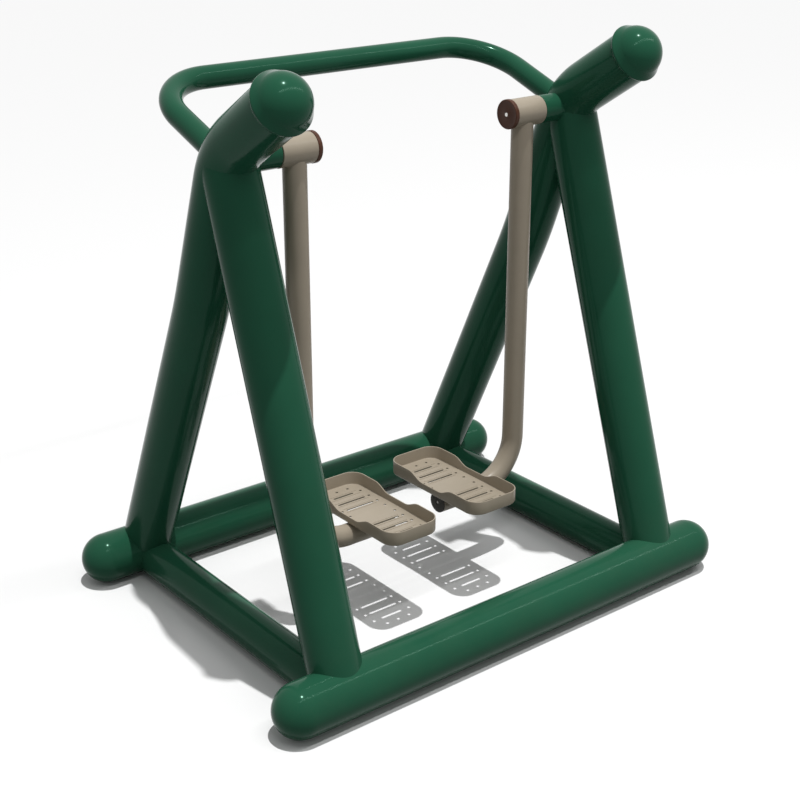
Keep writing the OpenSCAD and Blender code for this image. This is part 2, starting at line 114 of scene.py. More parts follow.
def add_range(tree, value, low, high, to_low, to_high):
    spread = tree.nodes.new("ShaderNodeMapRange")
    join(tree, value, spread.inputs["Value"])
    join(tree, low, spread.inputs["From Min"])
    join(tree, high, spread.inputs["From Max"])
    join(tree, to_low, spread.inputs["To Min"])
    join(tree, to_high, spread.inputs["To Max"])
    return spread.outputs["Result"]


def add_mix(tree, factor, first, second):
    mix = tree.nodes.new("ShaderNodeMix")
    mix.data_type = "RGBA"
    for place, value in ((0, factor), (6, first), (7, second)):
        join(tree, value, mix.inputs[place])
    return mix.outputs[2]


def add_math(tree, operation, first, second):
    math_node = tree.nodes.new("ShaderNodeMath")
    math_node.operation = operation
    join(tree, first, math_node.inputs[0])
    join(tree, second, math_node.inputs[1])
    return math_node.outputs[0]


def add_bump(tree, height, strength, distance):
    bump = tree.nodes.new("ShaderNodeBump")
    join(tree, height, bump.inputs["Height"])
    join(tree, strength, bump.inputs["Strength"])
    join(tree, distance, bump.inputs["Distance"])
    return bump.outputs["Normal"]


def object_place(tree):
    return tree.nodes.new("ShaderNodeTexCoord").outputs["Object"]


# %% [markdown]
# Every finish here has the same three results: a colour, a roughness and a fine relief. The
# groups that make them share these outputs, so any of them plugs into a shader the same way.

# %% Shared outputs of the finish groups
SKIN_OUTPUTS = [("Colour", COLOUR), ("Roughness", NUMBER), ("Normal", ARROW)]


def end_skin(group, end, colour, roughness, normal):
    join(group, colour, end.inputs["Colour"])
    join(group, roughness, end.inputs["Roughness"])
    join(group, normal, end.inputs["Normal"])


# %% [markdown]
# Powder coat is paint baked from dust. Close up it has a faint orange-peel skin, and its colour
# and gloss drift slowly from place to place. A flat colour would do from afar but looks like
# toy plastic near by, so one group makes that skin for both coats, green and tan.

# %% Group: coat skin
SLOW_SCALE = 5.0
GRAIN_SHARE = 0.35
GLOSS_DRIFT = 4.0
PEEL_DEPTH = 0.0004


def make_coat_skin():
    group, start, end = new_group(
        "coat_skin",
        [("Colour", COLOUR, (0.5, 0.5, 0.5, 1)),
         ("Deep Colour", COLOUR, (0.4, 0.4, 0.4, 1)),
         ("Roughness", NUMBER, 0.3),
         ("Drift", NUMBER, 0.06),
         ("Peel Scale", NUMBER, 320.0),
         ("Peel Strength", NUMBER, 0.02),
         ("Grain Scale", NUMBER, 1400.0)],
        SKIN_OUTPUTS)
    place = object_place(group)
    slow = add_noise(group, place, SLOW_SCALE, 4.0, 0.6)
    grain = add_noise(group, place, start.outputs["Grain Scale"], 2.0)
    peel = add_noise(group, place, start.outputs["Peel Scale"], 2.0, 0.4)
    cloud = add_math(group, "ADD", slow, add_math(group, "MULTIPLY", grain, GRAIN_SHARE))
    blend = add_range(group, cloud, 0.45, 0.95, 0.0, 1.0)
    colour = add_mix(group, blend, start.outputs["Deep Colour"], start.outputs["Colour"])
    around = add_math(group, "SUBTRACT", slow, 0.5)
    drift = add_math(group, "MULTIPLY", around, start.outputs["Drift"])
    wide = add_math(group, "MULTIPLY", drift, GLOSS_DRIFT)
    end_skin(group, end, colour,
             add_math(group, "ADD", start.outputs["Roughness"], wide),
             add_bump(group, peel, start.outputs["Peel Strength"], PEEL_DEPTH))
    return group


coat_skin = make_coat_skin()
print("group:", coat_skin.name)

# %% [markdown]
# Outdoors a coat gathers a little dust and rain splash, most of all near the ground. It could be
# painted by hand on each piece, but then both coats would need it twice. Here a mask does it: a
# cloudy noise that grows stronger towards the floor, shared by both coats.

# %% Group: dust
SPECK_SCALE = 260.0
SPECK_SHARE = 0.4
DUST_ABOVE = 0.25


def make_dust():
    group, start, end = new_group(
        "dust",
        [("Low", NUMBER, 0.0), ("High", NUMBER, 0.3),
         ("Amount", NUMBER, 0.2), ("Scale", NUMBER, 9.0)],
        [("Mask", NUMBER)])
    place = object_place(group)
    split = group.nodes.new("ShaderNodeSeparateXYZ")
    group.links.new(place, split.inputs["Vector"])
    height = add_range(group, split.outputs["Z"], start.outputs["Low"], start.outputs["High"],
                       1.0, DUST_ABOVE)
    cloud = add_noise(group, place, start.outputs["Scale"], 6.0, 0.65)
    speck = add_noise(group, place, SPECK_SCALE, 2.0)
    both = add_math(group, "ADD", cloud, add_math(group, "MULTIPLY", speck, SPECK_SHARE))
    patch = add_range(group, both, 0.55, 1.0, 0.0, 1.0)
    veil = add_math(group, "MULTIPLY", patch, height)
    join(group, add_math(group, "MULTIPLY", veil, start.outputs["Amount"]), end.inputs["Mask"])
    return group


dust = make_dust()
print("group:", dust.name)

# %% [markdown]
# Moulded plastic and rubber carry a fine grain from the mould, and fade in patches in the sun.
# Turned and drawn metal carries thin lines along the tool's path. Both are too fine to model, so
# a small relief stands for them. One group makes each, with its scale as an input.

# %% Groups: moulded grain and tool lines
FADE_SCALE = 30.0
GRAIN_DEPTH = 0.0003
LINE_STRETCH = (1.0, 0.06, 0.06)
CLOUD_SCALE = 60.0
LINE_DEPTH = 0.0002


def make_moulded_grain():
    group, start, end = new_group(
        "moulded_grain",
        [("Colour", COLOUR, (0.1, 0.1, 0.1, 1)), ("Worn Colour", COLOUR, (0.2, 0.2, 0.2, 1)),
         ("Roughness", NUMBER, 0.5), ("Grain Scale", NUMBER, 900.0),
         ("Grain Strength", NUMBER, 0.2)],
        SKIN_OUTPUTS)
    place = object_place(group)
    grain = add_noise(group, place, start.outputs["Grain Scale"], 2.0)
    fade = add_noise(group, place, FADE_SCALE, 4.0, 0.6)
    worn = add_range(group, fade, 0.5, 0.8, 0.0, 0.6)
    lift = add_range(group, fade, 0.3, 0.7, -0.06, 0.1)
    end_skin(group, end,
             add_mix(group, worn, start.outputs["Colour"], start.outputs["Worn Colour"]),
             add_math(group, "ADD", start.outputs["Roughness"], lift),
             add_bump(group, grain, start.outputs["Grain Strength"], GRAIN_DEPTH))
    return group


def make_tool_lines():
    group, start, end = new_group(
        "tool_lines",
        [("Colour", COLOUR, (0.6, 0.6, 0.6, 1)), ("Dull Colour", COLOUR, (0.4, 0.4, 0.4, 1)),
         ("Roughness", NUMBER, 0.3), ("Line Scale", NUMBER, 1500.0),
         ("Line Strength", NUMBER, 0.15)],
        SKIN_OUTPUTS)
    place = object_place(group)
    stretch = group.nodes.new("ShaderNodeMapping")
    stretch.inputs["Scale"].default_value = LINE_STRETCH
    group.links.new(place, stretch.inputs["Vector"])
    lines = add_noise(group, stretch.outputs["Vector"], start.outputs["Line Scale"], 2.0)
    cloud = add_noise(group, place, CLOUD_SCALE, 4.0, 0.6)
    dull = add_range(group, cloud, 0.45, 0.75, 0.0, 1.0)
    lift = add_range(group, lines, 0.3, 0.7, -0.08, 0.08)
    end_skin(group, end,
             add_mix(group, dull, start.outputs["Colour"], start.outputs["Dull Colour"]),
             add_math(group, "ADD", start.outputs["Roughness"], lift),
             add_bump(group, lines, start.outputs["Line Strength"], LINE_DEPTH))
    return group


moulded_grain = make_moulded_grain()
tool_lines = make_tool_lines()
print("groups:", moulded_grain.name, tool_lines.name)

# %% [markdown]
# Now the materials themselves. The stand's green coat is glossy and deep, the arms' tan coat is
# satin, the caps are moulded plastic, and the hidden hardware is bare or plated steel. One
# material with switches could serve them all, but separate ones can be changed one at a time.
# Each places a group or two, feeds the shader with them, and sets on the shader's own sockets
# what is the same all over.

# %% Materials
DUST_DULLING = 0.5
MOULDED_SHINE = 0.15


def place_group(tree, group, values):
    node = tree.nodes.new("ShaderNodeGroup")
    node.node_tree = group
    for label, value in values.items():
        node.inputs[label].default_value = value
    return node


def new_material(name):
    material = bpy.data.materials.new(name)
    material.use_nodes = True
    return material, material.node_tree, material.node_tree.nodes["Principled BSDF"]


def join_skin(tree, shader, skin):
    join(tree, skin.outputs["Colour"], shader.inputs["Base Color"])
    join(tree, skin.outputs["Roughness"], shader.inputs["Roughness"])
    join(tree, skin.outputs["Normal"], shader.inputs["Normal"])


def make_coat(name, colour, deep, roughness, shine, shine_tint, dust_colour, dust_amount):
    material, tree, shader = new_material(name)
    skin = place_group(tree, coat_skin,
                       {"Colour": colour, "Deep Colour": deep, "Roughness": roughness})
    veil = place_group(tree, dust, {"Amount": dust_amount}).outputs["Mask"]
    dusty = add_mix(tree, veil, skin.outputs["Colour"], dust_colour)
    dulled = add_math(tree, "MULTIPLY", veil, DUST_DULLING)
    rough = add_math(tree, "ADD", skin.outputs["Roughness"], dulled)
    join(tree, dusty, shader.inputs["Base Color"])
    join(tree, rough, shader.inputs["Roughness"])
    join(tree, skin.outputs["Normal"], shader.inputs["Normal"])
    shader.inputs["Specular IOR Level"].default_value = shine
    shader.inputs["Specular Tint"].default_value = shine_tint
    return material


def make_moulded(name, colour, worn, roughness):
    material, tree, shader = new_material(name)
    join_skin(tree, shader, place_group(
        tree, moulded_grain, {"Colour": colour, "Worn Colour": worn, "Roughness": roughness}))
    shader.inputs["Specular IOR Level"].default_value = MOULDED_SHINE
    return material


def make_metal(name, colour, dull, roughness):
    material, tree, shader = new_material(name)
    join_skin(tree, shader, place_group(
        tree, tool_lines, {"Colour": colour, "Dull Colour": dull, "Roughness": roughness}))
    shader.inputs["Metallic"].default_value = 1.0
    return material


finishes = {
    "green_enamel": make_coat(
        "green_coat", (0.017, 0.094, 0.052, 1), (0.015, 0.082, 0.045, 1), roughness=0.14,
        shine=0.08, shine_tint=(0.55, 1.0, 0.8, 1), dust_colour=(0.08, 0.11, 0.07, 1),
        dust_amount=0.14),
    "tan_enamel": make_coat(
        "tan_coat", (0.375, 0.322, 0.25, 1), (0.32, 0.275, 0.212, 1), roughness=0.34,
        shine=0.2, shine_tint=(1.0, 1.0, 1.0, 1), dust_colour=(0.46, 0.42, 0.35, 1),
        dust_amount=0.25),
    "brown_plastic": make_moulded(
        "brown_cap_plastic", (0.075, 0.03, 0.017, 1), (0.11, 0.05, 0.03, 1), 0.38),
    # the end disc's dark colour is partly painted shade, for the footplate's shadow on the arm's end
    "dark_plastic": make_moulded(
        "end_disc_plastic_and_shade", (0.05, 0.048, 0.042, 1), (0.09, 0.085, 0.075, 1), 0.5),
    "black_rubber": make_moulded(
        "seal_rubber", (0.02, 0.02, 0.02, 1), (0.04, 0.04, 0.04, 1), 0.65),
    "bright_plug": make_metal(
        "plug_aluminium", (0.68, 0.67, 0.65, 1), (0.58, 0.57, 0.55, 1), 0.3),
    "zinc_steel": make_metal(
        "zinc_plate", (0.62, 0.62, 0.6, 1), (0.45, 0.45, 0.44, 1), 0.35),
    "bearing_steel": make_metal(
        "ground_steel", (0.7, 0.7, 0.7, 1), (0.6, 0.6, 0.6, 1), 0.15),
    "dark_steel": make_metal(
        "bar_steel", (0.3, 0.29, 0.28, 1), (0.2, 0.17, 0.15, 1), 0.5),
}
print("materials:", ", ".join(sorted(material.name for material in finishes.values())))

# %% [markdown]
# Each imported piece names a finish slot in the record. Its object keeps its mesh and takes the
# material made for that slot, so a piece can't end up in the wrong colour by a slip of the hand.

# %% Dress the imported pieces
slot_of = {row["node"]: row["material_slot"] for row in frame["record"]["subparts"]}


def dress(piece, slot):
    piece.data.materials.clear()
    piece.data.materials.append(finishes[slot])


for name, piece in nodes.items():
    dress(piece, slot_of[name])
print("dressed:", len(slot_of))

# %% [markdown]
# The new pieces are shaped as by hand: a round or square start, then extrude, spin, resize, bevel
# and more in edit mode. Meshes could be built from lists of points instead, but each step here is
# one that a person can repeat and change. The helpers keep one piece selected at a time, because
# an operator acts on all that is selected, and write a finished piece's place into its mesh.

# %% Helpers for modelling
ROUND, THIN_ROUND, SMALL_ROUND = 96, 64, 48
QUARTER = math.pi / 2
WELD = 0.01 * MM


def select_only(piece):
    if bpy.context.object and bpy.context.object.mode != "OBJECT":
        bpy.ops.object.mode_set(mode="OBJECT")
    bpy.ops.object.select_all(action="DESELECT")
    piece.select_set(True)
    bpy.context.view_layer.objects.active = piece


def take_primitive(name):
    piece = bpy.context.object
    piece.name = name
    piece.data.name = name
    select_only(piece)
    bpy.ops.object.transform_apply(location=True, rotation=True, scale=True)
    return piece


def start_disc(name, radius, place, turn=(0, 0, 0), sides=ROUND):
    bpy.ops.object.select_all(action="DESELECT")
    bpy.ops.mesh.primitive_circle_add(vertices=sides, radius=radius, fill_type="NGON",
                                      location=place, rotation=turn)
    piece = take_primitive(name)
    bpy.ops.object.mode_set(mode="EDIT")
    bpy.ops.mesh.select_all(action="SELECT")
    return piece


def extrude(step):
    bpy.ops.mesh.extrude_region_move(TRANSFORM_OT_translate={"value": tuple(step)})


def spin(centre, axis, degrees, steps):
    # the operator turns clockwise about its axis, hence the minus
    bpy.ops.mesh.spin(steps=steps, angle=-math.radians(degrees), center=tuple(centre),
                      axis=tuple(axis))


def close_mesh(piece, weld=WELD):
    bpy.ops.mesh.select_all(action="SELECT")
    bpy.ops.mesh.remove_doubles(threshold=weld)
    bpy.ops.mesh.normals_make_consistent(inside=False)
    select_only(piece)
    return piece


def apply_modifiers(piece):
    select_only(piece)
    for modifier in list(piece.modifiers):
        bpy.ops.object.modifier_apply(modifier=modifier.name)


def combine(piece, other, operation):
    step = piece.modifiers.new("combine", "BOOLEAN")
    step.operation = operation
    step.object = other
    step.solver = "EXACT"
    apply_modifiers(piece)
    bpy.data.objects.remove(other)


def copy_piece(piece, name, step=(0, 0, 0)):
    select_only(piece)
    bpy.ops.object.duplicate()
    copy = bpy.context.object
    copy.name = name
    copy.data.name = name
    bpy.ops.transform.translate(value=step)
    bpy.ops.object.transform_apply(location=True, rotation=True, scale=True)
    return copy


def turned_copy(piece, name, centre):
    copy = copy_piece(piece, name)
    select_only(copy)
    bpy.ops.transform.rotate(value=math.pi, orient_axis="Z", center_override=tuple(centre))
    bpy.ops.object.transform_apply(location=True, rotation=True, scale=True)
    return copy


# %% [markdown]
# A finished piece is smoothed except at its real edges, gets its finish, rides on the body that
# carries it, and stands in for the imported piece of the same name. Most pieces come as a right
# and a left one, so a second helper finishes both.

# %% Helpers for finishing


def finish_piece(piece, body, slot, *replaced, angle=35):
    select_only(piece)
    bpy.ops.object.shade_smooth_by_angle(angle=math.radians(angle))
    dress(piece, slot)
    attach(piece, body)
    if replaced:
        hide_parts(*replaced)
    print(piece.name, "faces:", len(piece.data.polygons))


def finish_pair(right, left, slot, node, moving=False, angle=35):
    for side, piece in (("right", right), ("left", left)):
        body = side + "_arm" if moving else "stand"
        finish_piece(piece, body, slot, side + "_" + node, angle=angle)


# %% [markdown]
# The base is two thick steel tubes across the stand. A tube starts as a disc and is extruded to
# its length; a cylinder primitive would do as well, but the disc also serves for bent tubes. Four
# short bars let into the underside take the ground bolts, so round pockets are cut there.

# %% Base tubes
BASE_R = 70 * MM
BASE_REACH = 672 * MM
BASE_Y = 480 * MM
ANCHOR_X = 450 * MM
ANCHOR_R = 15 * MM
ANCHOR_DEPTH = 26 * MM


def cut_anchor_pockets(tube):
    for place_x in (-ANCHOR_X, ANCHOR_X):
        cutter = start_disc("anchor_cutter", ANCHOR_R, (place_x, -BASE_Y, -ANCHOR_DEPTH),
                            sides=SMALL_ROUND)
        extrude((0, 0, 2 * ANCHOR_DEPTH))
        combine(tube, close_mesh(cutter), "DIFFERENCE")


def make_base_tube():
    tube = start_disc("front_base_tube_shape", BASE_R, (-BASE_REACH, -BASE_Y, BASE_R),
                      (0, QUARTER, 0))
    extrude((2 * BASE_REACH, 0, 0))
    close_mesh(tube)
    cut_anchor_pockets(tube)
    return tube


front_tube = make_base_tube()
rear_tube = copy_piece(front_tube, "rear_base_tube_shape", (0, 2 * BASE_Y, 0))
finish_piece(front_tube, "stand", "green_enamel", "front_base_tube")
finish_piece(rear_tube, "stand", "green_enamel", "rear_base_tube")

# %% [markdown]
# Half balls are welded on the ends of the base tubes, so that nobody catches a foot on an edge.
# Each could be turned from a profile, but a ball cut in half by a plane is quicker and as round.
# One is made, and the others are copies that are turned about the middle of the tube or moved to
# the other tube.

# %% Base caps


def make_base_cap():
    bpy.ops.object.select_all(action="DESELECT")
    bpy.ops.mesh.primitive_uv_sphere_add(segments=ROUND, ring_count=ROUND // 2, radius=BASE_R,
                                         location=(BASE_REACH, -BASE_Y, BASE_R),
                                         rotation=(0, QUARTER, 0))
    cap = take_primitive("front_right_base_cap_shape")
    bpy.ops.object.mode_set(mode="EDIT")
    bpy.ops.mesh.select_all(action="SELECT")
    bpy.ops.mesh.bisect(plane_co=(BASE_REACH, 0, 0), plane_no=(1, 0, 0), use_fill=True,
                        clear_inner=True)
    return close_mesh(cap)


front_right = make_base_cap()
front_left = turned_copy(front_right, "front_left_base_cap_shape", (0, -BASE_Y, 0))
rear_right = copy_piece(front_right, "rear_right_base_cap_shape", (0, 2 * BASE_Y, 0))
rear_left = copy_piece(front_left, "rear_left_base_cap_shape", (0, 2 * BASE_Y, 0))
for cap in (front_right, front_left, rear_right, rear_left):
    finish_piece(cap, "stand", "green_enamel", cap.name.removesuffix("_shape"))

# %% [markdown]
# Two thinner tubes rest on the ground between the base tubes. Their ends run into the base tubes,
# where the real ones are cut to fit and welded. Cutting them in the model would change nothing
# that shows, because the joint is already a clean curve.

# %% Cross tubes
FRAME_X = 546.5 * MM
CROSS_R = 54 * MM
TO_LEFT = (-2 * FRAME_X, 0, 0)


def make_cross_tube():
    tube = start_disc("right_cross_tube_shape", CROSS_R, (FRAME_X, -BASE_Y, CROSS_R),
                      (QUARTER, 0, 0))
    extrude((0, 2 * BASE_Y, 0))
    return close_mesh(tube)


right_cross = make_cross_tube()
left_cross = copy_piece(right_cross, "left_cross_tube_shape", TO_LEFT)
finish_pair(right_cross, left_cross, "green_enamel", "cross_tube")

# %% [markdown]
# The rear leg is one long tube that leans forward, eases through a slow bend, and turns over at
# the top into a forward stub. Its axis lies in one side plane, so a list of lengths and turns
# says all about it. The corners of the path are worked out here, and other pieces use them too.

# %% Path of the rear leg
LEG_R = 69.5 * MM
LOW_LEAN, HIGH_LEAN, STUB_LEAN = 25.28, 20.35, 57.6
LOW_LEN, MID_LEN, STUB_LEN = 852 * MM, 288 * MM, 182 * MM
LOW_BEND_R, TOP_BEND_R = 1600 * MM, 225 * MM
JOINT_SHARE = 0.3914


def side_point(y, z):
    return Vector((FRAME_X, y, z))


def along(lean):
    return Vector((0, -math.sin(math.radians(lean)), math.cos(math.radians(lean))))


def outward(lean):
    return Vector((0, math.cos(math.radians(lean)), math.sin(math.radians(lean))))


rear_foot = side_point(BASE_Y, BASE_R)
low_end = rear_foot + LOW_LEN * along(LOW_LEAN)
low_centre = low_end + LOW_BEND_R * outward(LOW_LEAN)
mid_end = low_centre - LOW_BEND_R * outward(HIGH_LEAN) + MID_LEN * along(HIGH_LEAN)
top_centre = mid_end - TOP_BEND_R * outward(HIGH_LEAN)
stub_start = top_centre + TOP_BEND_R * outward(STUB_LEAN)
stub_end = stub_start + STUB_LEN * along(STUB_LEAN)
joint_lean = HIGH_LEAN + JOINT_SHARE * (STUB_LEAN - HIGH_LEAN)
joint = top_centre + TOP_BEND_R * outward(joint_lean)
print("leg joint at", tuple(round(number, 4) for number in joint))

# %% [markdown]
# A curve with a round bevel could draw the leg in one stroke, but its bends would get rings where
# the curve likes them. So the tube is pulled as a tube bender pulls it: a disc starts square to
# the path, is extruded along each straight stretch, and is spun about the centre of each bend.

# %% Rear legs
SLOW_BEND_STEPS, BEND_STEPS = 12, 24


def make_rear_leg():
    leg = start_disc("right_rear_leg_shape", LEG_R, rear_foot, (math.radians(LOW_LEAN), 0, 0))
    extrude(LOW_LEN * along(LOW_LEAN))
    spin(low_centre, (1, 0, 0), HIGH_LEAN - LOW_LEAN, SLOW_BEND_STEPS)
    extrude(MID_LEN * along(HIGH_LEAN))
    spin(top_centre, (1, 0, 0), STUB_LEAN - HIGH_LEAN, BEND_STEPS)
    extrude(STUB_LEN * along(STUB_LEAN))
    return close_mesh(leg)


right_rear = make_rear_leg()
left_rear = copy_piece(right_rear, "left_rear_leg_shape", TO_LEFT)
finish_pair(right_rear, left_rear, "green_enamel", "rear_leg")

# %% [markdown]
# The front leg is a straight prop of the same tube. It rises from the front base tube and is cut
# to fit under the bend of the rear leg. Here its top end is left inside the bend instead, a hair
# thinner, so that it nowhere shows through.

# %% Front legs
FRONT_FOOT_Y = -461.4 * MM
FRONT_R = 69.25 * MM


def make_front_leg():
    foot = side_point(FRONT_FOOT_Y, BASE_R)
    run = joint - foot
    lean = math.atan2(-run.y, run.z)
    leg = start_disc("right_front_leg_shape", FRONT_R, foot, (lean, 0, 0))
    extrude(run)
    return close_mesh(leg)


right_front = make_front_leg()
left_front = copy_piece(right_front, "left_front_leg_shape", TO_LEFT)
finish_pair(right_front, left_front, "green_enamel", "front_leg")

# %% [markdown]
# Things turned on a lathe, or pressed round, share one way of making. A disc is extruded up by
# small steps, and each new ring is resized to the radius of the profile there. A profile spun
# about its axis would give the same skin, but leaves the ends open. The piece is made upright at
# the origin, then tipped and moved to its place.

# %% Helpers for turned pieces
TIP_R = 0.0002 * MM
ALONG_X, AGAINST_X = (0, QUARTER, 0), (0, -QUARTER, 0)


def turned(name, profile, place, turn=(0, 0, 0), sides=ROUND):
    radius, height = profile[0]
    piece = start_disc(name, radius, (0, 0, height), sides=sides)
    for next_radius, next_height in profile[1:]:
        extrude((0, 0, next_height - height))
        share = max(next_radius, TIP_R) / radius
        bpy.ops.transform.resize(value=(share, share, 1), center_override=(0, 0, next_height))
        radius, height = max(next_radius, TIP_R), next_height
    close_mesh(piece, weld=2 * WELD)
    piece.rotation_euler = turn
    piece.location = place
    bpy.ops.object.transform_apply(location=True, rotation=True, scale=True)
    return piece


def arc(centre, radius, start, end, steps):
    turns = [math.radians(start + (end - start) * step / steps) for step in range(steps + 1)]
    return [(centre[0] + radius * math.cos(turn), centre[1] + radius * math.sin(turn))
            for turn in turns]


def low_dome(radius, height, side_share, steps):
    # a head with a short straight side below its dome
    turns = [QUARTER * step / steps for step in range(steps + 1)]
    return [(radius, 0)] + [(radius * math.cos(turn),
                             height * (side_share + (1 - side_share) * math.sin(turn)))
                            for turn in turns]


# %% [markdown]
# The post cap closes the stub. It is a pressed dome with a thin bead at its rim, a narrow groove,
# and a swollen collar that flows into the dome. The profile is a bead arc, a collar arc and the
# arc of the dome up to its tip. A plain half ball would miss the two fine lines of light that the
# bead and the groove draw.

# %% Post caps
SPIGOT_R = LEG_R - 5 * MM
SPIGOT_LEN = 30 * MM
BEAD_R = 3 * MM
COLLAR_R = 77 * MM
SWELL_R = COLLAR_R - LEG_R
GROOVE_Z = 5.25 * MM
SWELL_Z = GROOVE_Z + SWELL_R
DOME_R = 70 * MM
DOME_Z = 12 * MM
# the first turn, the last turn and the steps of each arc
BEAD_ARC, SWELL_ARC, DOME_ARC = (-90, 52, 10), (-75, 38, 14), (17, 90, 26)


def post_cap_profile():
    bead = arc((LEG_R, BEAD_R), BEAD_R, *BEAD_ARC)
    swell = arc((LEG_R, SWELL_Z), SWELL_R, *SWELL_ARC)
    dome = arc((0, DOME_Z), DOME_R, *DOME_ARC)
    return [(SPIGOT_R, -SPIGOT_LEN), (SPIGOT_R, 0)] + bead + swell + dome


right_post = turned("right_post_cap_shape", post_cap_profile(), stub_end,
                    (math.radians(STUB_LEAN), 0, 0))
left_post = copy_piece(right_post, "left_post_cap_shape", TO_LEFT)
finish_pair(right_post, left_post, "green_enamel", "post_cap", angle=50)

# %% [markdown]
# The handrail is one bent tube that runs back from the legs and slopes up to the bar that the
# user holds. It starts inside one leg and ends inside the other, with a quarter turn at each
# corner. A half could be made and mirrored, but one pull from end to end leaves no seam in the
# middle, so it is extruded and spun like the leg, in its own sloping plane.

# %% Handrail
RAIL_R = 29.5 * MM
RAIL_REACH = 385.7 * MM
RAIL_BEND_R = 163 * MM
RAIL_SLOPE = math.radians(19.8)
RAIL_DROP = 7.2 * MM


def make_handrail():
    start = joint - Vector((0, 0, RAIL_DROP))
    back = Vector((0, math.cos(RAIL_SLOPE), math.sin(RAIL_SLOPE)))
    lift = Vector((0, -math.sin(RAIL_SLOPE), math.cos(RAIL_SLOPE)))
    left = Vector((-1, 0, 0))
    straight = RAIL_REACH - RAIL_BEND_R
    across = 2 * (FRAME_X - RAIL_BEND_R)
    corner = start + straight * back + RAIL_BEND_R * left
    rail = start_disc("handrail_shape", RAIL_R, start, (RAIL_SLOPE - QUARTER, 0, 0),
                      sides=THIN_ROUND)
    extrude(straight * back)
    spin(corner, lift, 90, BEND_STEPS)
    extrude(across * left)
    spin(corner + across * left, lift, 90, BEND_STEPS)
    extrude(-straight * back)
    return close_mesh(rail)


finish_piece(make_handrail(), "stand", "green_enamel", "handrail")

# %% [markdown]
# A short round boss stands on the inner side of each side frame and holds the axle. Its mouth is
# rounded so that the hub can't chip the paint. The rounding is part of the profile; a bevel would
# give the same edge but would also take the hidden end.

# %% Pivot bosses
PIVOT_Y = joint.y - 5.4 * MM
PIVOT_Z = joint.z + 2 * MM
PIVOT_LINE = (0, PIVOT_Y, 0)
BOSS_R = 37 * MM
BOSS_X = 422 * MM
BOSS_EDGE = 1.5 * MM

mouth = arc((BOSS_R - BOSS_EDGE, BOSS_EDGE), BOSS_EDGE, -90, 0, 5)
right_boss = turned("right_pivot_boss_shape", mouth + [(BOSS_R, FRAME_X - BOSS_X)],
                    (BOSS_X, PIVOT_Y, PIVOT_Z), ALONG_X)
left_boss = turned_copy(right_boss, "left_pivot_boss_shape", PIVOT_LINE)
finish_pair(right_boss, left_boss, "green_enamel", "pivot_boss")

# %% [markdown]
# The hub turns on the axle and carries the arm. Its outer mouth is stepped in, where the rubber
# seal sits against rain, and both edges are eased. A plain cylinder would bury the seal, so the
# profile folds in at the mouth. The left hub is the right one turned half round about the pivot
# line's middle, because both arms are the same welded part.

# %% Hubs
HUB_R = 38 * MM
HUB_IN_X = 321 * MM
HUB_LEN = 99 * MM
HUB_EDGE = 1 * MM
SEAL_R = 31 * MM
SEAL_W = 8 * MM


def hub_profile():
    inner = arc((HUB_R - HUB_EDGE, HUB_EDGE), HUB_EDGE, -90, 0, 4)
    outer = arc((HUB_R - HUB_EDGE, HUB_LEN - HUB_EDGE), HUB_EDGE, 0, 90, 4)
    return inner + outer + [(SEAL_R, HUB_LEN), (SEAL_R, HUB_LEN - SEAL_W)]


right_hub = turned("right_hub_shape", hub_profile(), (HUB_IN_X, PIVOT_Y, PIVOT_Z), ALONG_X)
left_hub = turned_copy(right_hub, "left_hub_shape", PIVOT_LINE)
finish_pair(right_hub, left_hub, "tan_enamel", "hub", moving=True)

# %% [markdown]
# A brown moulded cap is pushed into the hub's inner end. Its face is very slightly dished inside
# a rounded rim, with a small raised seat in the middle. The dish is hardly a millimetre deep, but
# without it the rim would not catch the light as a ring.

# %% Hub caps
HUB_CAP_R = 39.3 * MM
HUB_CAP_W = 12 * MM
CAP_EDGE = 0.8 * MM
CAP_RIM = 3 * MM
CAP_DISH = 0.9 * MM
PLUG_R = 5.3 * MM
# radius and depth below the face, from inside the rim to the middle
CAP_FACE = [(HUB_CAP_R - 5 * MM, 0.5 * MM), (HUB_CAP_R - 9 * MM, CAP_DISH),
            (PLUG_R + 6 * MM, CAP_DISH), (PLUG_R + 3 * MM, 0.1 * MM), (PLUG_R + 1 * MM, 0), (0, 0)]


def hub_cap_profile():
    side = [(HUB_CAP_R - CAP_EDGE, 0), (HUB_CAP_R, CAP_EDGE)]
    rim = arc((HUB_CAP_R - CAP_RIM, HUB_CAP_W - CAP_RIM), CAP_RIM, 0, 90, 10)
    return side + rim + [(radius, HUB_CAP_W - depth) for radius, depth in CAP_FACE]


right_cap = turned("right_hub_cap_shape", hub_cap_profile(), (HUB_IN_X, PIVOT_Y, PIVOT_Z),
                   AGAINST_X)
left_cap = turned_copy(right_cap, "left_hub_cap_shape", PIVOT_LINE)
finish_pair(right_cap, left_cap, "brown_plastic", "hub_cap", moving=True, angle=40)

# %% [markdown]
# A bright round plug sits in the seat and covers the cap's middle hole. It has a short straight
# side under a low dome, so that it shows as a separate piece and not as a painted dot.

# %% Cap plugs
PLUG_HEAD = 1.5 * MM
PLUG_SIDE_SHARE = 0.35

right_plug = turned("right_cap_plug_shape", low_dome(PLUG_R, PLUG_HEAD, PLUG_SIDE_SHARE, 8),
                    (HUB_IN_X - HUB_CAP_W, PIVOT_Y, PIVOT_Z), AGAINST_X, sides=SMALL_ROUND)
left_plug = turned_copy(right_plug, "left_cap_plug_shape", PIVOT_LINE)
finish_pair(right_plug, left_plug, "bright_plug", "cap_plug", moving=True, angle=50)

# %% [markdown]
# The arm hangs straight down from the hub and turns inward in one bend, so that its level foot
# runs under the footplate. Two straight tubes with an elbow between would show seams that the real
# tube hasn't, so it is pulled in one go like the legs, from a disc inside the hub that faces down.

